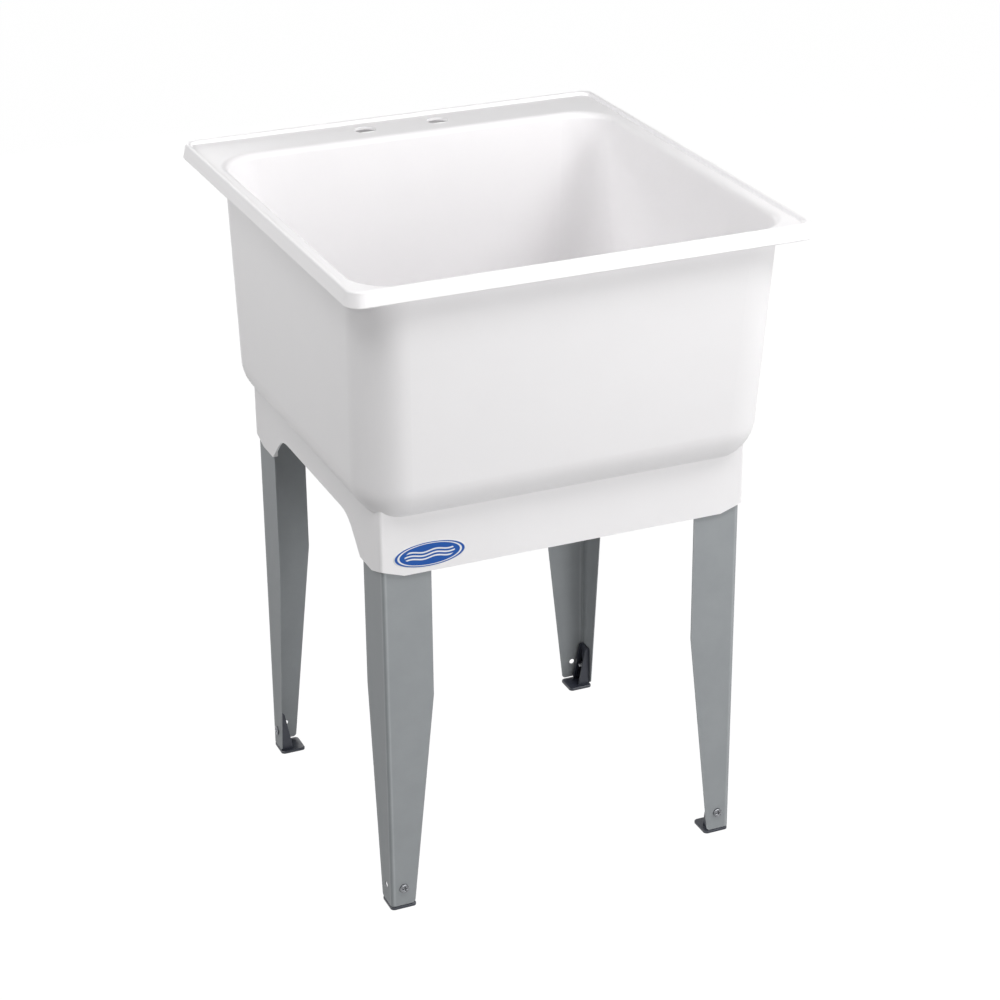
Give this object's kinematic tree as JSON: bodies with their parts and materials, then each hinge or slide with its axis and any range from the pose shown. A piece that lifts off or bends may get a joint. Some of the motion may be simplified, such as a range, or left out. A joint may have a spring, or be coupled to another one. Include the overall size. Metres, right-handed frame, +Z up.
{
  "type": "utility laundry sink",
  "caption": "Floor-standing laundry sink: a deep moulded plastic tub with a back ledge and two faucet holes, on tapered angle-steel legs with adjustable feet and a drain with stopper.",
  "frame": {"origin": "on the floor, under the centre of the rim", "axes": "+Z up, +X to the user's right when facing the sink, +Y towards the back ledge with the faucet holes"},
  "size_m": [0.5832, 0.6292, 0.85],
  "materials": {
    "tub_plastic": "satin white moulding",
    "leg_paint": "satin grey paint",
    "leveler_plastic": "dark moulded plastic",
    "zinc_screw": "zinc plated",
    "drain_plastic": "white moulding",
    "tail_plastic": "white tube",
    "rubber": "black",
    "fibre_ring": "pressed fibre"
  },
  "bodies": {
    "sink": {"tub": "tub_plastic", "leg_front_left": "leg_paint", "leg_front_right": "leg_paint", "leg_back_left": "leg_paint", "leg_back_right": "leg_paint", "leveler_screw_front_left": "zinc_screw", "leveler_screw_front_right": "zinc_screw", "leveler_screw_back_left": "zinc_screw", "leveler_screw_back_right": "zinc_screw", "leveler_nut_front_left": "zinc_screw", "leveler_nut_front_right": "zinc_screw", "leveler_nut_back_left": "zinc_screw", "leveler_nut_back_right": "zinc_screw", "leg_screw_front_left": "zinc_screw", "leg_screw_front_right": "zinc_screw", "leg_screw_back_left": "zinc_screw", "leg_screw_back_right": "zinc_screw", "drain_body": "drain_plastic", "drain_gasket": "rubber", "drain_friction_ring": "fibre_ring", "drain_locknut": "drain_plastic", "tailpiece_washer": "rubber", "slip_nut": "drain_plastic", "tailpiece": "tail_plastic"},
    "leveler_front_left": {"leveler_front_left": "leveler_plastic"},
    "leveler_front_right": {"leveler_front_right": "leveler_plastic"},
    "leveler_back_left": {"leveler_back_left": "leveler_plastic"},
    "leveler_back_right": {"leveler_back_right": "leveler_plastic"},
    "stopper": {"stopper": "rubber"}
  },
  "joints": [
    {"name": "leveler_slide_front_left", "type": "slide", "parent": "sink", "child": "leveler_front_left", "axis": [0, 0, -1], "range_m": [0, 0.014]},
    {"name": "leveler_slide_front_right", "type": "slide", "parent": "sink", "child": "leveler_front_right", "axis": [0, 0, -1], "range_m": [0, 0.014]},
    {"name": "leveler_slide_back_left", "type": "slide", "parent": "sink", "child": "leveler_back_left", "axis": [0, 0, -1], "range_m": [0, 0.014]},
    {"name": "leveler_slide_back_right", "type": "slide", "parent": "sink", "child": "leveler_back_right", "axis": [0, 0, -1], "range_m": [0, 0.014]},
    {"name": "stopper_lift", "type": "slide", "parent": "sink", "child": "stopper", "axis": [0, 0, 1], "range_m": [0, 0.1]}
  ]
}
